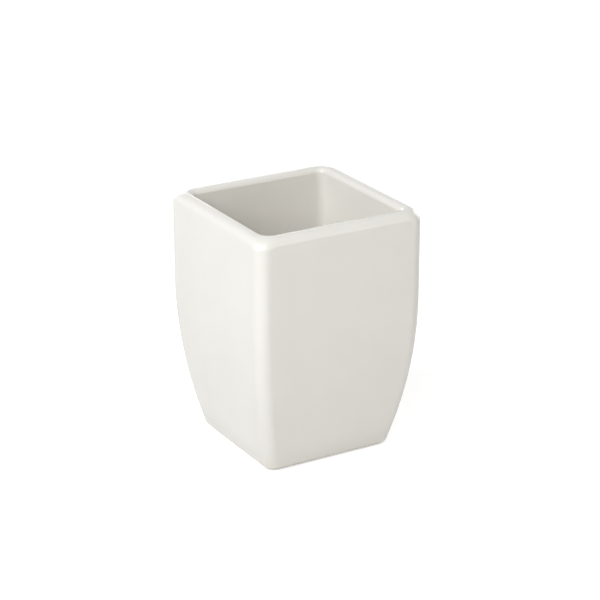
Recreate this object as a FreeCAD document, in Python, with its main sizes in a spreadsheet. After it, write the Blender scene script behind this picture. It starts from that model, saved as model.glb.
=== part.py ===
import FreeCAD, Part
import os
import Sketcher

# A square bathroom tumbler: a slip-cast ceramic body under a fired glaze, on four stick-on pads.
# Millimetres, +Z up. The origin is the middle of the footprint, on the surface that the tumbler stands on.
# The front is -Y and the left is -X.

SIZES = {
    # Outside of the glazed tumbler; a half is half of its square plan's width
    "overall_height": 100.0,
    "shoulder_half": 36.6,
    "base_half": 27.7,
    "upright_height": 35.0,
    "edge_round": 4.8,
    # Wall, rim and inside, glaze included
    "wall_thickness": 6.2,
    "lip_inner_round": 2.2,
    "lip_land": 0.1,
    "rim_reach": 3.0,
    "crease_round": 3.0,
    "crease_margin": 0.6,
    "inside_corner": 3.4,
    "floor_cove": 5.0,
    "cove_margin": 0.5,
    "floor_thickness": 6.8,
    # Foot ring and the recess inside it
    "foot_width": 6.5,
    "base_round": 1.2,
    "foot_round": 0.6,
    "recess_depth": 1.5,
    "recess_corner": 4.5,
    # Glaze
    "glaze_thickness": 0.3,
    "glaze_line": 1.2,
    "base_glaze_margin": 0.8,
    # Stick-on pads
    "pad_radius": 4.5,
    "pad_thickness": 1.6,
    "pad_edge_round": 0.5,
    "pad_gap": 2.0,
    "adhesive_thickness": 0.2,
    "adhesive_margin": 0.3,
}
TOLERANCE = 0.001
SIDES = 4
FULL_TURN = 360
QUARTER_TURN = FULL_TURN / SIDES
CORNERS = {
    "front_left": (-1, -1),
    "front_right": (1, -1),
    "back_left": (-1, 1),
    "back_right": (1, 1),
}

doc = FreeCAD.newDocument("bathroom_tumbler")
sheet = doc.addObject("Spreadsheet::Sheet", "sizes")
for row, (alias, size) in enumerate(SIZES.items(), start=1):
    sheet.set(f"A{row}", alias)
    sheet.set(f"B{row}", str(size))
    sheet.setAlias(f"B{row}", alias)
doc.recompute()

# Heights and half-widths that several pieces share, as expressions of the sheet's cells
FOOT = "(sizes.pad_thickness + sizes.adhesive_thickness + sizes.glaze_thickness - sizes.recess_depth)"
RECESS = f"({FOOT} + sizes.recess_depth)"
FLOOR = f"({RECESS} + sizes.floor_thickness)"
GLAZE_LINE = f"({FOOT} + sizes.glaze_line)"
SHOULDER = "(sizes.overall_height - sizes.upright_height)"
RECESS_HALF = "(sizes.base_half - sizes.foot_width)"
PAD_OFFSET = f"({RECESS_HALF} - sizes.pad_gap - sizes.pad_radius)"
# The rim is one even rounding that follows the mouth. It would reach past the wall, so the wall cuts it off:
# along the sides only a slope is left of it, and at the corners it runs down to the tight upright edges.
RIM_HALF = "(sizes.shoulder_half + sizes.rim_reach)"
RIM_CORNER = "(sizes.inside_corner + sizes.wall_thickness + sizes.rim_reach)"
RIM_SLOPE = "(sizes.wall_thickness - sizes.lip_inner_round - sizes.lip_land)"
RIM_ROUND = f"({RIM_SLOPE} + sizes.rim_reach)"
# The wall limits the rounding between the rim and the sides, which stays clear of the lip's top
CREASE_ROUND = f"min(sizes.crease_round; {RIM_SLOPE} - sizes.crease_margin)"
# Each side is upright above the shoulder and one arc below it, which meets the base's width at the foot
FLARE = "(sizes.shoulder_half - sizes.base_half)"
SIDE_RADIUS = f"((({SHOULDER} - {FOOT})^2 + {FLARE}^2) / (2 * {FLARE}))"


def value(expression):
    """Number that an expression of the sheet's cells gives."""
    return float(sheet.evalExpression(expression))


def half_at(level, depth):
    """Half-width at a level below the shoulder, at a depth under the glazed outside."""
    chord = f"({SIDE_RADIUS} - {depth})^2 - ({SHOULDER} - {level})^2"
    return f"(sizes.shoulder_half - {SIDE_RADIUS} + sqrt({chord}))"


def new_body(name):
    """Empty body with its own label."""
    body = doc.addObject("PartDesign::Body", name)
    body.Label = name
    return body


def origin_item(body, role):
    """Plane or axis of a body's own origin."""
    return next(item for item in body.Origin.OriginFeatures if item.Role == role)


def new_sketch(body, name, role):
    """Empty sketch on one of the body's origin planes."""
    sketch = body.newObject("Sketcher::SketchObject", name)
    sketch.AttachmentSupport = (origin_item(body, role), "")
    sketch.MapMode = "FlatFace"
    return sketch


def bind(sketch, constraint, name, expression):
    """Add a dimension to a sketch and tie it to the sheet."""
    index = sketch.addConstraint(constraint)
    sketch.renameConstraint(index, name)
    sketch.setExpression(f"Constraints.{name}", expression)


def side_profile(body, name, role, low, crest, depth):
    """Upright section of one side, from the middle out to the surface at a depth."""
    sketch = new_sketch(body, name, role)
    reach = f"(sizes.shoulder_half - {depth})"
    radius = f"({SIDE_RADIUS} - {depth})"
    foot = FreeCAD.Vector(value(half_at(low, depth)), value(low), 0)
    shoulder = FreeCAD.Vector(value(reach), value(SHOULDER), 0)
    lip = FreeCAD.Vector(value(reach), value(crest), 0)
    top = FreeCAD.Vector(0, value(crest), 0)
    bottom = FreeCAD.Vector(0, value(low), 0)
    centre = shoulder - FreeCAD.Vector(value(radius), 0, 0)
    halfway = (foot + shoulder) / 2 - centre
    bulge = centre + halfway * (value(radius) / halfway.Length)
    base_line = sketch.addGeometry(Part.LineSegment(bottom, foot))
    side_arc = sketch.addGeometry(Part.Arc(foot, bulge, shoulder))
    upright = sketch.addGeometry(Part.LineSegment(shoulder, lip))
    top_line = sketch.addGeometry(Part.LineSegment(lip, top))
    middle = sketch.addGeometry(Part.LineSegment(top, bottom))
    joined = ((base_line, side_arc), (upright, top_line), (top_line, middle), (middle, base_line))
    for first, second in joined:
        sketch.addConstraint(Sketcher.Constraint("Coincident", first, 2, second, 1))
    sketch.addConstraint(Sketcher.Constraint("Tangent", side_arc, 2, upright, 1))
    sketch.addConstraint(Sketcher.Constraint("Horizontal", base_line))
    sketch.addConstraint(Sketcher.Constraint("Horizontal", top_line))
    sketch.addConstraint(Sketcher.Constraint("Vertical", upright))
    sketch.addConstraint(Sketcher.Constraint("Vertical", middle))
    sketch.addConstraint(Sketcher.Constraint("PointOnObject", middle, 1, -2))
    bind(sketch, Sketcher.Constraint("DistanceX", -1, 1, upright, 1, shoulder.x), "reach", reach)
    bind(sketch, Sketcher.Constraint("DistanceY", -1, 1, upright, 1, shoulder.y), "shoulder", SHOULDER)
    bind(sketch, Sketcher.Constraint("DistanceY", -1, 1, top_line, 1, lip.y), "crest", crest)
    bind(sketch, Sketcher.Constraint("DistanceY", -1, 1, base_line, 1, bottom.y), "low", low)
    bind(sketch, Sketcher.Constraint("Radius", side_arc, value(radius)), "side_radius", radius)
    return sketch


def side_pair(body, role, low, crest, depth):
    """Two facing sides, carried straight along their faces."""
    slab = body.newObject("PartDesign::Pad", f"{body.Name}_side")
    slab.Profile = side_profile(body, f"{body.Name}_profile", role, low, crest, depth)
    slab.Midplane = True
    slab.setExpression("Length", f"2 * (sizes.shoulder_half - {depth})")
    pair = body.newObject("PartDesign::PolarPattern", f"{body.Name}_pair")
    pair.Originals = [slab]
    pair.Axis = (origin_item(body, "Z_Axis"), [""])
    pair.Angle = FULL_TURN
    pair.Occurrences = 2
    body.Tip = pair
    doc.recompute()


def combine(body, name, kind, tool):
    """Cut a body by another, or keep what the two have in common."""
    before = body.Shape.Volume
    boolean = body.newObject("PartDesign::Boolean", name)
    boolean.Type = kind
    boolean.setObjects([tool])
    doc.recompute()
    if boolean.Shape.Volume >= before:
        raise RuntimeError(f"{name} took nothing away")
    return boolean


def edge_names(feature, wanted):
    """Names of the edges whose end points pass a test."""
    names = []
    for number, edge in enumerate(feature.Shape.Edges, start=1):
        if wanted([vertex.Point for vertex in edge.Vertexes]):
            names.append(f"Edge{number}")
    return names


def round_edges(body, name, base, names, radius):
    """Round some edges of the feature before."""
    fillet = body.newObject("PartDesign::Fillet", name)
    fillet.Base = (base, names)
    fillet.setExpression("Radius", radius)
    doc.recompute()
    return fillet


def round_ring(body, name, base, lowest, highest, half, radius):
    """Round the ring of edges whose ends lie between two levels and at a half-width."""
    least = value(lowest) - TOLERANCE
    most = value(highest) + TOLERANCE
    width = value(half)

    def on_ring(ends):
        reach = [max(abs(end.x), abs(end.y)) for end in ends]
        is_level = all(least < end.z < most for end in ends)
        return is_level and abs(max(reach) - width) < TOLERANCE

    return round_edges(body, name, base, edge_names(base, on_ring), radius)


def on_diagonal(ends):
    """Whether an edge runs up one of the square's corners."""
    rises = abs(ends[0].z - ends[-1].z) > TOLERANCE
    return rises and all(abs(abs(end.x) - abs(end.y)) < TOLERANCE for end in ends)


def drawn_in_square(body, low, crest, depth, corner):
    """Square solid with drawn-in sides at a depth under the glazed outside, its upright edges rounded."""
    across = new_body(f"{body.Name}_across")
    side_pair(body, "XZ_Plane", low, crest, depth)
    side_pair(across, "YZ_Plane", low, crest, depth)
    crossing = combine(body, f"{body.Name}_crossing", "Common", across)
    names = edge_names(crossing, on_diagonal)
    return round_edges(body, f"{body.Name}_corners", crossing, names, corner)


def core(name, crest, inset):
    """Solid of the hollow inside, with a cove round the floor."""
    body = new_body(name)
    floor = f"({FLOOR} + sizes.glaze_thickness - {inset})"
    depth = f"(sizes.wall_thickness - {inset})"
    upright = drawn_in_square(body, floor, crest, depth, f"sizes.inside_corner + {inset}")
    cove = f"min(sizes.floor_cove; sizes.inside_corner - sizes.cove_margin) + {inset}"
    round_ring(body, f"{name}_cove", upright, floor, floor, half_at(floor, depth), cove)
    return body


def rounded_square(body, name, level, half, corner):
    """Flat sketch of a square with rounded corners, centred on the axis at a level."""
    sketch = new_sketch(body, name, "XY_Plane")
    sketch.setExpression("AttachmentOffset.Base.z", level)
    reach = value(half)
    radius = value(corner)
    straight = reach - radius
    up = FreeCAD.Vector(0, 0, 1)
    bisector = FreeCAD.Vector(1, 1, 0).normalize()
    lines = []
    arcs = []
    for turn in range(SIDES):
        spin = FreeCAD.Rotation(up, QUARTER_TURN * turn)
        start = spin.multVec(FreeCAD.Vector(reach, -straight, 0))
        end = spin.multVec(FreeCAD.Vector(reach, straight, 0))
        middle = spin.multVec(FreeCAD.Vector(straight, straight, 0) + bisector * radius)
        after = spin.multVec(FreeCAD.Vector(straight, reach, 0))
        lines.append(sketch.addGeometry(Part.LineSegment(start, end)))
        arcs.append(sketch.addGeometry(Part.Arc(end, middle, after)))
    for turn in range(SIDES):
        following = lines[(turn + 1) % SIDES]
        direction = "Vertical" if turn % 2 == 0 else "Horizontal"
        sketch.addConstraint(Sketcher.Constraint("Tangent", lines[turn], 2, arcs[turn], 1))
        sketch.addConstraint(Sketcher.Constraint("Tangent", arcs[turn], 2, following, 1))
        sketch.addConstraint(Sketcher.Constraint(direction, lines[turn]))
    for turn in range(1, SIDES):
        sketch.addConstraint(Sketcher.Constraint("Equal", arcs[0], arcs[turn]))
    sketch.addConstraint(Sketcher.Constraint("Equal", lines[0], lines[1]))
    sketch.addConstraint(Sketcher.Constraint("Symmetric", lines[0], 1, lines[2], 1, -1, 1))
    width = Sketcher.Constraint("DistanceX", lines[2], 1, lines[0], 1, 2 * reach)
    bind(sketch, width, "width", f"2 * {half}")
    bind(sketch, Sketcher.Constraint("Radius", arcs[0], radius), "corner", corner)
    return sketch


def rim_form(name, low, crest, inset):
    """Solid with the rim's even rounding round its top: the mouth's square, carried outwards."""
    body = new_body(name)
    half = f"({RIM_HALF} - {inset})"
    block = body.newObject("PartDesign::Pad", f"{name}_block")
    block.Profile = rounded_square(body, f"{name}_outline", low, half, f"({RIM_CORNER} - {inset})")
    block.setExpression("Length", f"{crest} - {low}")
    doc.recompute()
    round_ring(body, f"{name}_round", block, crest, crest, half, f"{RIM_ROUND} - {inset}")
    return body


def cup(body, low, inset):
    """Hollow beaker from a low level to the lip, its surfaces set back from the glazed ones by an inset."""
    name = body.Name
    crest = f"(sizes.overall_height - {inset})"
    half = f"(sizes.shoulder_half - {inset})"
    drawn_in_square(body, low, crest, inset, f"sizes.edge_round - {inset}")
    rim = combine(body, f"{name}_rim", "Common", rim_form(f"{name}_rim_form", low, crest, inset))
    rim_foot = f"(sizes.overall_height - {RIM_ROUND})"
    round_ring(body, f"{name}_crease", rim, rim_foot, crest, half, f"{CREASE_ROUND} - {inset}")
    hollow = combine(body, f"{name}_hollow", "Cut", core(f"{name}_core", crest, inset))
    mouth = f"(sizes.shoulder_half - sizes.wall_thickness + {inset})"
    return round_ring(body, f"{name}_lip_inner", hollow, crest, crest, mouth, f"sizes.lip_inner_round - {inset}")


def ceramic_body():
    """Cast body: the beaker, with a foot ring round a shallow recess underneath."""
    body = new_body("ceramic_body")
    inset = "sizes.glaze_thickness"
    beaker = cup(body, FOOT, inset)
    base = round_ring(body, "base_edge", beaker, FOOT, FOOT, half_at(FOOT, inset), "sizes.base_round")
    recess = body.newObject("PartDesign::Pocket", "recess")
    recess.Profile = rounded_square(body, "recess_outline", FOOT, RECESS_HALF, "sizes.recess_corner")
    recess.setExpression("Length", "sizes.recess_depth")
    recess.Reversed = True
    doc.recompute()
    if recess.Shape.Volume >= base.Shape.Volume:
        raise RuntimeError("ceramic_body: the recess cut nothing")
    round_ring(body, "foot_edge", recess, FOOT, FOOT, RECESS_HALF, "sizes.foot_round")
    return body


def glaze_coat(backing):
    """Fired skin over the outside, the lip and the inside, down to the glaze line."""
    form = new_body("glaze_form")
    cup(form, GLAZE_LINE, "0")
    half = f"({RECESS_HALF} + sizes.foot_width / 2)"
    relief = form.newObject("PartDesign::Pocket", "relief")
    relief.Profile = rounded_square(form, "relief_outline", GLAZE_LINE, half, "sizes.recess_corner")
    relief.setExpression("Length", f"{RECESS} - {GLAZE_LINE} + sizes.floor_thickness / 2")
    relief.Reversed = True
    coat = doc.addObject("Part::Cut", "glaze_coat")
    coat.Label = "glaze_coat"
    coat.Base = form
    coat.Tool = backing
    return coat


def base_glaze():
    """Patch of glaze on the recessed underside, pulled back a little from the foot ring."""
    body = new_body("base_glaze")
    level = f"({RECESS} - sizes.glaze_thickness)"
    half = f"({RECESS_HALF} - sizes.base_glaze_margin)"
    patch = body.newObject("PartDesign::Pad", "base_glaze_patch")
    patch.Profile = rounded_square(body, "base_glaze_outline", level, half, "sizes.recess_corner")
    patch.setExpression("Length", "sizes.glaze_thickness")
    return body


def place(piece, corner, level):
    """Put a pad piece under one corner, at a level."""
    across, along = CORNERS[corner]
    piece.setExpression("Placement.Base.x", f"{across} * {PAD_OFFSET}")
    piece.setExpression("Placement.Base.y", f"{along} * {PAD_OFFSET}")
    piece.setExpression("Placement.Base.z", level)


def foot_pad(corner):
    """Soft round pad with a rounded tread edge, which the tumbler stands on."""
    name = f"foot_pad_{corner}"
    body = new_body(name)
    sketch = new_sketch(body, f"{name}_outline", "XY_Plane")
    radius = value("sizes.pad_radius")
    circle = sketch.addGeometry(Part.Circle(FreeCAD.Vector(), FreeCAD.Vector(0, 0, 1), radius))
    sketch.addConstraint(Sketcher.Constraint("Coincident", circle, 3, -1, 1))
    bind(sketch, Sketcher.Constraint("Radius", circle, radius), "radius", "sizes.pad_radius")
    disc = body.newObject("PartDesign::Pad", f"{name}_disc")
    disc.Profile = sketch
    disc.setExpression("Length", "sizes.pad_thickness")
    doc.recompute()
    round_ring(body, f"{name}_edge", disc, "0", "0", "sizes.pad_radius", "sizes.pad_edge_round")
    place(body, corner, "0")
    return body


def pad_adhesive(corner):
    """Film of adhesive that holds a pad to the base glaze."""
    film = doc.addObject("Part::Cylinder", f"pad_adhesive_{corner}")
    film.Label = f"pad_adhesive_{corner}"
    film.setExpression("Radius", "sizes.pad_radius - sizes.adhesive_margin")
    film.setExpression("Height", "sizes.adhesive_thickness")
    place(film, corner, "sizes.pad_thickness")
    return film


cast = ceramic_body()
pieces = [cast, glaze_coat(cast), base_glaze()]
for corner in CORNERS:
    pieces.append(foot_pad(corner))
    pieces.append(pad_adhesive(corner))
doc.recompute()

for item in doc.Objects:
    if "Invalid" in item.State or "Error" in item.State:
        raise RuntimeError(f"{item.Label} did not build")
for piece in pieces:
    if piece.Shape.isNull() or not piece.Shape.isValid():
        raise RuntimeError(f"{piece.Label} has no sound shape")
    print(f"{piece.Label}: {len(piece.Shape.Solids)} solid, {piece.Shape.Volume:.1f} mm3")

os.makedirs("parts", exist_ok=True)
for piece in pieces:
    piece.Shape.exportStep(f"parts/{piece.Label}.step")
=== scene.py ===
# %% [markdown]
# # A square bathroom tumbler under a warm white glaze
#
# The tumbler is cast from liquid clay in a plaster mould, fired, dipped in glaze and fired again. The
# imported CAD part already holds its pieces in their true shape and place: the fired clay, the glaze
# over it, and four soft pads stuck under the base. So this lesson doesn't model them again. It gives
# each piece its finish, sets the tumbler on white paper, and lights and frames it the way a catalogue
# picture does.

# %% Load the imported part
import math

import bmesh
import bpy
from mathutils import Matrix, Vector

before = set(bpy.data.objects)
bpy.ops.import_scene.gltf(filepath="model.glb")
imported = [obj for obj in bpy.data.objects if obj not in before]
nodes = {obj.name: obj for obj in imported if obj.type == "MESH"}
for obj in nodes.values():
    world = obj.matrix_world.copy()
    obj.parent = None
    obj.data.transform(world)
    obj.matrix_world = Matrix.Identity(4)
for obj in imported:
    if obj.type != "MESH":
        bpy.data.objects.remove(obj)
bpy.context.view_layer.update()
print("pieces of the tumbler:", ", ".join(sorted(nodes)))

# %% [markdown]
# ## A few helpers for the finishes
#
# Every finish here is worked out from the place on the object, in metres, so that the pattern sits
# still on the piece and has its true size. A node group keeps a pattern in one place, so several
# finishes can share it.

# %% Helpers that start a finish and put it on pieces
def new_finish(name, roughness):
    """Material with a Principled shader, and the coordinates of the object to draw with."""
    finish = bpy.data.materials.new(name)
    finish.use_nodes = True
    tree = finish.node_tree
    shader = tree.nodes["Principled BSDF"]
    shader.inputs["Roughness"].default_value = roughness
    place = tree.nodes.new("ShaderNodeTexCoord")
    return finish, tree, shader, place.outputs["Object"]


def put_on(finish, *names):
    """Give a finish to CAD pieces, through the material slots that they already have."""
    for name in names:
        nodes[name].material_slots[0].material = finish
    print(finish.name, "on", ", ".join(names))


# %% [markdown]
# ## Mottle
#
# Nothing that is dipped, sprayed or moulded is quite even. This group gives a soft cloudy mask
# between 0 and 1. The noise is stretched to use its whole range, because plain noise stays near its
# middle.

# %% Make the mottle group
NOISE_LOW = 0.35
NOISE_HIGH = 0.65
CLOUD_DETAIL = 3

mottle_group = bpy.data.node_groups.new("mottle", "ShaderNodeTree")
mottle_group.interface.new_socket("Place", in_out="INPUT", socket_type="NodeSocketVector")
mottle_group.interface.new_socket("Scale", in_out="INPUT", socket_type="NodeSocketFloat")
mottle_group.interface.new_socket("Mask", in_out="OUTPUT", socket_type="NodeSocketFloat")
group_in = mottle_group.nodes.new("NodeGroupInput")
group_out = mottle_group.nodes.new("NodeGroupOutput")
cloud = mottle_group.nodes.new("ShaderNodeTexNoise")
cloud.inputs["Detail"].default_value = CLOUD_DETAIL
stretch = mottle_group.nodes.new("ShaderNodeMapRange")
stretch.inputs["From Min"].default_value = NOISE_LOW
stretch.inputs["From Max"].default_value = NOISE_HIGH
mottle_group.links.new(group_in.outputs["Place"], cloud.inputs["Vector"])
mottle_group.links.new(group_in.outputs["Scale"], cloud.inputs["Scale"])
mottle_group.links.new(cloud.outputs["Fac"], stretch.inputs["Value"])
mottle_group.links.new(stretch.outputs["Result"], group_out.inputs["Mask"])
print("group:", mottle_group.name)

# %% [markdown]
# ## Relief
#
# A fired surface is never as flat as a drawing. Glaze flows like thick syrup while it is molten and
# keeps a long, low swell, and bare clay feels like fine paper. This group turns noise of a chosen
# size and height into a bent normal, which moves the highlights without moving the surface.

# %% Make the relief group
GRAIN_DETAIL = 2

relief_group = bpy.data.node_groups.new("relief", "ShaderNodeTree")
relief_group.interface.new_socket("Place", in_out="INPUT", socket_type="NodeSocketVector")
relief_group.interface.new_socket("Scale", in_out="INPUT", socket_type="NodeSocketFloat")
relief_group.interface.new_socket("Height", in_out="INPUT", socket_type="NodeSocketFloat")
relief_group.interface.new_socket("Normal", in_out="OUTPUT", socket_type="NodeSocketVector")
group_in = relief_group.nodes.new("NodeGroupInput")
group_out = relief_group.nodes.new("NodeGroupOutput")
grain = relief_group.nodes.new("ShaderNodeTexNoise")
grain.inputs["Detail"].default_value = GRAIN_DETAIL
bump = relief_group.nodes.new("ShaderNodeBump")
relief_group.links.new(group_in.outputs["Place"], grain.inputs["Vector"])
relief_group.links.new(group_in.outputs["Scale"], grain.inputs["Scale"])
relief_group.links.new(group_in.outputs["Height"], bump.inputs["Distance"])
relief_group.links.new(grain.outputs["Fac"], bump.inputs["Height"])
relief_group.links.new(bump.outputs["Normal"], group_out.inputs["Normal"])
print("group:", relief_group.name)

# %% [markdown]
# Both groups go into a finish in the same way: a group node, its place from the object, and its own
# sizes.

# %% Helpers that use the groups
def add_mottle(tree, place, scale):
    """Mottle in a finish; gives its mask."""
    node = tree.nodes.new("ShaderNodeGroup")
    node.node_tree = mottle_group
    node.inputs["Scale"].default_value = scale
    tree.links.new(place, node.inputs["Place"])
    return node.outputs["Mask"]


def add_relief(tree, place, shader, scale, height):
    """Relief in a finish, straight onto its shader."""
    node = tree.nodes.new("ShaderNodeGroup")
    node.node_tree = relief_group
    node.inputs["Scale"].default_value = scale
    node.inputs["Height"].default_value = height
    tree.links.new(place, node.inputs["Place"])
    tree.links.new(node.outputs["Normal"], shader.inputs["Normal"])


def blend_colours(tree, mask, first, second):
    """Colour that goes from the first to the second with a mask."""
    mix = tree.nodes.new("ShaderNodeMix")
    mix.data_type = "RGBA"
    mix.inputs["A"].default_value = (*first, 1)
    mix.inputs["B"].default_value = (*second, 1)
    tree.links.new(mask, mix.inputs["Factor"])
    return mix


# %% [markdown]
# ## Glaze
#
# The glaze is a thin coat of glass, fired onto the clay. Tin or zircon in it makes it a warm, opaque
# white that hardly varies, with a clear gloss. While it is molten it creeps downwards, so it is
# thicker and a touch creamier in the last few millimetres above the bare foot. The same band is also
# painted darker: painted shade, where the sides come close to the table. The height above the table
# drives that change.

# %% Make the glaze
GLAZE_WHITE = (0.835, 0.807, 0.752)
GLAZE_CLOUD = (0.822, 0.794, 0.737)
# Foot tint: creamier, thicker glaze, and darker as painted shade near the table.
GLAZE_POOLED_AND_SHADED = (0.79, 0.76, 0.695)
GLAZE_ROUGHNESS = 0.14
CLOUD_SCALE = 60
SWELL_SCALE = 90
SWELL_HEIGHT = 0.00006
POOL_AND_SHADE_TOP = 0.012

glaze, tree, shader, place = new_finish("warm_white_glaze", GLAZE_ROUGHNESS)
cloud_mask = add_mottle(tree, place, CLOUD_SCALE)
clouds = blend_colours(tree, cloud_mask, GLAZE_WHITE, GLAZE_CLOUD)
# Mask over the last 12 mm above the table: creamier glaze, plus painted shade that darkens it near
# the table.
split = tree.nodes.new("ShaderNodeSeparateXYZ")
pool_and_shade_mask = tree.nodes.new("ShaderNodeMapRange")
pool_and_shade_mask.interpolation_type = "SMOOTHSTEP"
pool_and_shade_mask.inputs["From Min"].default_value = POOL_AND_SHADE_TOP
pool_and_shade_mask.inputs["From Max"].default_value = 0
tree.links.new(place, split.inputs["Vector"])
tree.links.new(split.outputs["Z"], pool_and_shade_mask.inputs["Value"])
pooled_and_shaded = blend_colours(tree, pool_and_shade_mask.outputs["Result"], GLAZE_WHITE, GLAZE_POOLED_AND_SHADED)
tree.links.new(clouds.outputs["Result"], pooled_and_shaded.inputs["A"])
tree.links.new(pooled_and_shaded.outputs["Result"], shader.inputs["Base Color"])
add_relief(tree, place, shader, SWELL_SCALE, SWELL_HEIGHT)
put_on(glaze, "glaze_coat", "base_glaze")

# %% [markdown]
# ## Bare clay
#
# The foot ring is wiped clean before the firing, or the tumbler would stick to the kiln shelf. What
# shows there is fired clay: a warm off-white, quite matt, with fine grains that are a little darker.

# %% Make the bare clay
CLAY_PALE = (0.80, 0.765, 0.69)
CLAY_GRAIN = (0.68, 0.64, 0.56)
CLAY_ROUGHNESS = 0.85
GRAIN_SCALE = 1500
CLAY_BUMP_SCALE = 2500
CLAY_BUMP_HEIGHT = 0.00008

clay, tree, shader, place = new_finish("bare_fired_clay", CLAY_ROUGHNESS)
grain_mask = add_mottle(tree, place, GRAIN_SCALE)
grains = blend_colours(tree, grain_mask, CLAY_PALE, CLAY_GRAIN)
tree.links.new(grains.outputs["Result"], shader.inputs["Base Color"])
add_relief(tree, place, shader, CLAY_BUMP_SCALE, CLAY_BUMP_HEIGHT)
put_on(clay, "ceramic_body")

# %% [markdown]
# ## Pads and their adhesive
#
# The pads are soft grey rubber, moulded and die-cut, that keep the tumbler from sliding and
# scratching. They dull with dust and handling, which shows as pale clouds. The adhesive is a milky
# film that hardly shows at all.

# %% Make the rubber and the adhesive
RUBBER_GREY = (0.58, 0.58, 0.56)
RUBBER_DUST = (0.68, 0.675, 0.65)
RUBBER_ROUGHNESS = 0.7
DUST_SCALE = 400
RUBBER_BUMP_SCALE = 3000
RUBBER_BUMP_HEIGHT = 0.00005
FILM_MILKY = (0.80, 0.80, 0.76)
FILM_THIN = (0.72, 0.72, 0.67)
FILM_ROUGHNESS = 0.45
FILM_SCALE = 600
CORNERS = ("front_left", "front_right", "back_left", "back_right")

rubber, tree, shader, place = new_finish("soft_grey_rubber", RUBBER_ROUGHNESS)
dust_mask = add_mottle(tree, place, DUST_SCALE)
dust = blend_colours(tree, dust_mask, RUBBER_GREY, RUBBER_DUST)
tree.links.new(dust.outputs["Result"], shader.inputs["Base Color"])
add_relief(tree, place, shader, RUBBER_BUMP_SCALE, RUBBER_BUMP_HEIGHT)
put_on(rubber, *[f"foot_pad_{corner}" for corner in CORNERS])

film, tree, shader, place = new_finish("milky_adhesive", FILM_ROUGHNESS)
thin_mask = add_mottle(tree, place, FILM_SCALE)
thin = blend_colours(tree, thin_mask, FILM_MILKY, FILM_THIN)
tree.links.new(thin.outputs["Result"], shader.inputs["Base Color"])
put_on(film, *[f"pad_adhesive_{corner}" for corner in CORNERS])

# %% [markdown]
# ## Paper floor
#
# The tumbler stands on a wide sheet of white paper. To the camera the paper glows a little on top of
# the light that falls on it, so it comes out pure white and still darkens where the tumbler keeps the
# light out. Away from the lamps the glow grows, and the paper stays white as far as one can see.
# Mirror reflections see it as plain white. All other rays see ordinary paper, which sends a soft
# light back up.

# %% Lay the paper floor
FLOOR_HALF = 3.0
PAPER_WHITE = (0.80, 0.80, 0.80)
PAPER_FIBRE = (0.78, 0.78, 0.78)
PAPER_ROUGHNESS = 0.9
FIBRE_SCALE = 300
GLOW_NEAR = 0.6
GLOW_FAR = 1.0
NEAR = 0.3
FAR = 1.2

floor_data = bpy.data.meshes.new("paper_floor")
floor_mesh = bmesh.new()
bmesh.ops.create_grid(floor_mesh, x_segments=1, y_segments=1, size=FLOOR_HALF)
floor_mesh.to_mesh(floor_data)
floor_mesh.free()
floor = bpy.data.objects.new("paper_floor", floor_data)
bpy.context.scene.collection.objects.link(floor)

paper, tree, shader, place = new_finish("white_paper", PAPER_ROUGHNESS)
fibre_mask = add_mottle(tree, place, FIBRE_SCALE)
fibres = blend_colours(tree, fibre_mask, PAPER_WHITE, PAPER_FIBRE)
tree.links.new(fibres.outputs["Result"], shader.inputs["Base Color"])
shader.inputs["Specular IOR Level"].default_value = 0
ray = tree.nodes.new("ShaderNodeLightPath")
away = tree.nodes.new("ShaderNodeVectorMath")
away.operation = "LENGTH"
grow = tree.nodes.new("ShaderNodeMapRange")
grow.inputs["From Min"].default_value = NEAR
grow.inputs["From Max"].default_value = FAR
grow.inputs["To Min"].default_value = GLOW_NEAR
grow.inputs["To Max"].default_value = GLOW_FAR
glow = tree.nodes.new("ShaderNodeEmission")
tree.links.new(place, away.inputs[0])
tree.links.new(away.outputs["Value"], grow.inputs["Value"])
tree.links.new(grow.outputs["Result"], glow.inputs["Strength"])
lit_and_glowing = tree.nodes.new("ShaderNodeAddShader")
tree.links.new(shader.outputs["BSDF"], lit_and_glowing.inputs[0])
tree.links.new(glow.outputs["Emission"], lit_and_glowing.inputs[1])
to_camera = tree.nodes.new("ShaderNodeMixShader")
tree.links.new(ray.outputs["Is Camera Ray"], to_camera.inputs["Fac"])
tree.links.new(shader.outputs["BSDF"], to_camera.inputs[1])
tree.links.new(lit_and_glowing.outputs["Shader"], to_camera.inputs[2])
plain_white = tree.nodes.new("ShaderNodeEmission")
mirrored = tree.nodes.new("ShaderNodeMath")
mirrored.operation = "MAXIMUM"
tree.links.new(ray.outputs["Is Glossy Ray"], mirrored.inputs[0])
tree.links.new(ray.outputs["Is Transmission Ray"], mirrored.inputs[1])
to_mirror = tree.nodes.new("ShaderNodeMixShader")
tree.links.new(mirrored.outputs["Value"], to_mirror.inputs["Fac"])
tree.links.new(to_camera.outputs["Shader"], to_mirror.inputs[1])
tree.links.new(plain_white.outputs["Emission"], to_mirror.inputs[2])
tree.links.new(to_mirror.outputs["Shader"], tree.nodes["Material Output"].inputs["Surface"])
floor_data.materials.append(paper)
print("paper floor:", 2 * FLOOR_HALF, "m wide")

# %% [markdown]
# ## Light
#
# A catalogue picture of white ware is lit softly from almost everywhere, and more from one side, so
# that the faces of the square stay apart. The ceiling of the room gives a weak light, which fades out
# towards the walls. The walls themselves are white to look at, for the camera and for mirror
# reflections, so the far edges of the rim pick up that white and the room melts into the paper.

# %% Set the white room
CEILING_LIGHT = 0.38
CEILING_FROM = 0.6

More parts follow.
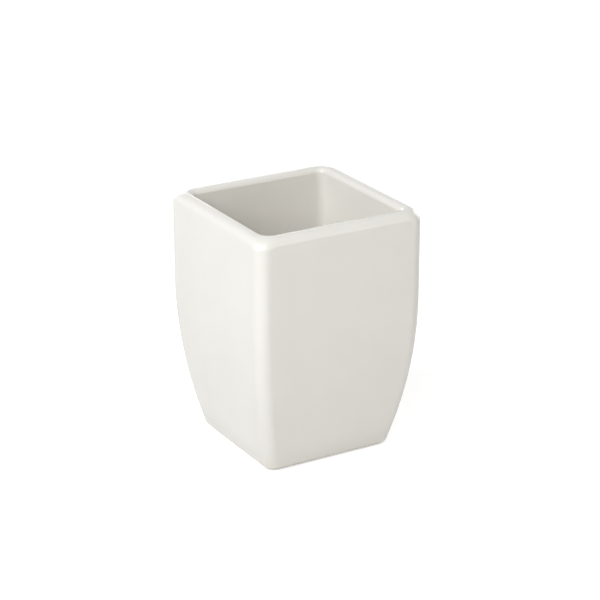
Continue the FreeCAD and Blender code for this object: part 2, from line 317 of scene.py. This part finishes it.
room = bpy.data.worlds.new("white_room")
room.use_nodes = True
tree = room.node_tree
ceiling = tree.nodes["Background"]
ceiling.inputs["Color"].default_value = (1, 1, 1, 1)
looking = tree.nodes.new("ShaderNodeTexCoord")
split = tree.nodes.new("ShaderNodeSeparateXYZ")
rise = tree.nodes.new("ShaderNodeMapRange")
rise.inputs["From Max"].default_value = CEILING_FROM
rise.inputs["To Max"].default_value = CEILING_LIGHT
tree.links.new(looking.outputs["Generated"], split.inputs["Vector"])
tree.links.new(split.outputs["Z"], rise.inputs["Value"])
tree.links.new(rise.outputs["Result"], ceiling.inputs["Strength"])
white_walls = tree.nodes.new("ShaderNodeBackground")
white_walls.inputs["Color"].default_value = (1, 1, 1, 1)
ray = tree.nodes.new("ShaderNodeLightPath")
seen = tree.nodes.new("ShaderNodeMath")
seen.operation = "MAXIMUM"
tree.links.new(ray.outputs["Is Camera Ray"], seen.inputs[0])
tree.links.new(ray.outputs["Is Glossy Ray"], seen.inputs[1])
to_view = tree.nodes.new("ShaderNodeMixShader")
tree.links.new(seen.outputs["Value"], to_view.inputs["Fac"])
tree.links.new(ceiling.outputs["Background"], to_view.inputs[1])
tree.links.new(white_walls.outputs["Background"], to_view.inputs[2])
tree.links.new(to_view.outputs["Shader"], tree.nodes["World Output"].inputs["Surface"])
bpy.context.scene.world = room
print("ceiling light:", CEILING_LIGHT)

# %% [markdown]
# The shape comes from softboxes: round lamps as wide as an umbrella. The two strongest hang on the
# left, and are slightly cool like window light, and a warmer one in front parts the two faces by
# their tint as well. The others stand low, with their lower part behind the paper, so that they
# brighten the sides and leave the top of the rim alone. None hangs where the rim would mirror it
# straight into the camera, because the rim would burn out. A lamp's place is its turn round the
# tumbler, 0 degrees being the front, and its height above the table as an angle.

# %% Hang the softboxes
MIDDLE = Vector((0, 0, 0.05))
LAMP_DISTANCE = 0.9
LAMP_WIDTH = 0.7
COOL = (0.95, 0.976, 1.0)
WARM = (1.0, 0.978, 0.935)
NEUTRAL = (1.0, 1.0, 1.0)
SOFTBOXES = {
    "softbox_left": {"turn": -80, "height": 38, "watts": 4.3, "tint": COOL},
    "softbox_front_left": {"turn": -50, "height": 38, "watts": 2.85, "tint": COOL},
    "softbox_front": {"turn": 15, "height": 5, "watts": 1.87, "tint": WARM},
    "softbox_right": {"turn": 110, "height": 5, "watts": 2.25, "tint": NEUTRAL},
    "softbox_behind": {"turn": 170, "height": 5, "watts": 1.5, "tint": NEUTRAL},
}


def direction(turn, height):
    """Unit arrow from the tumbler out to a turn round it and a height above it, both in degrees."""
    turn = math.radians(turn)
    height = math.radians(height)
    flat = math.cos(height)
    return Vector((flat * math.sin(turn), -flat * math.cos(turn), math.sin(height)))


for name, box in SOFTBOXES.items():
    outwards = direction(box["turn"], box["height"])
    lamp_data = bpy.data.lights.new(name, "AREA")
    lamp_data.shape = "DISK"
    lamp_data.size = LAMP_WIDTH
    lamp_data.energy = box["watts"]
    lamp_data.color = box["tint"]
    lamp = bpy.data.objects.new(name, lamp_data)
    lamp.location = MIDDLE + LAMP_DISTANCE * outwards
    lamp.rotation_euler = outwards.to_track_quat("Z", "Y").to_euler()
    bpy.context.scene.collection.objects.link(lamp)
    print(name, box["watts"], "W")

# %% [markdown]
# ## Camera
#
# The camera stands a little to the left and looks down at about 21 degrees, so one face is wide, the
# next is narrow, and the mouth is open to view. A long lens keeps the upright edges almost parallel.
# The tumbler stands a little below the middle of the picture, so the camera aims slightly above it.

# %% Set the camera
CAMERA_TURN = -30.33
CAMERA_HEIGHT = 21.26
CAMERA_DISTANCE = 0.825
LENS = 124.2
AIM_RIGHT = 0.00193
AIM_UP = 0.00753

backwards = direction(CAMERA_TURN, CAMERA_HEIGHT)
to_right = direction(CAMERA_TURN + 90, 0)
upwards = backwards.cross(to_right)
camera_data = bpy.data.cameras.new("camera")
camera_data.lens = LENS
camera = bpy.data.objects.new("camera", camera_data)
camera.location = MIDDLE + AIM_RIGHT * to_right + AIM_UP * upwards + CAMERA_DISTANCE * backwards
camera.rotation_euler = backwards.to_track_quat("Z", "Y").to_euler()
bpy.context.scene.collection.objects.link(camera)
bpy.context.scene.camera = camera
bpy.context.scene.view_settings.view_transform = "Standard"
print("camera at", [round(value, 3) for value in camera.location])
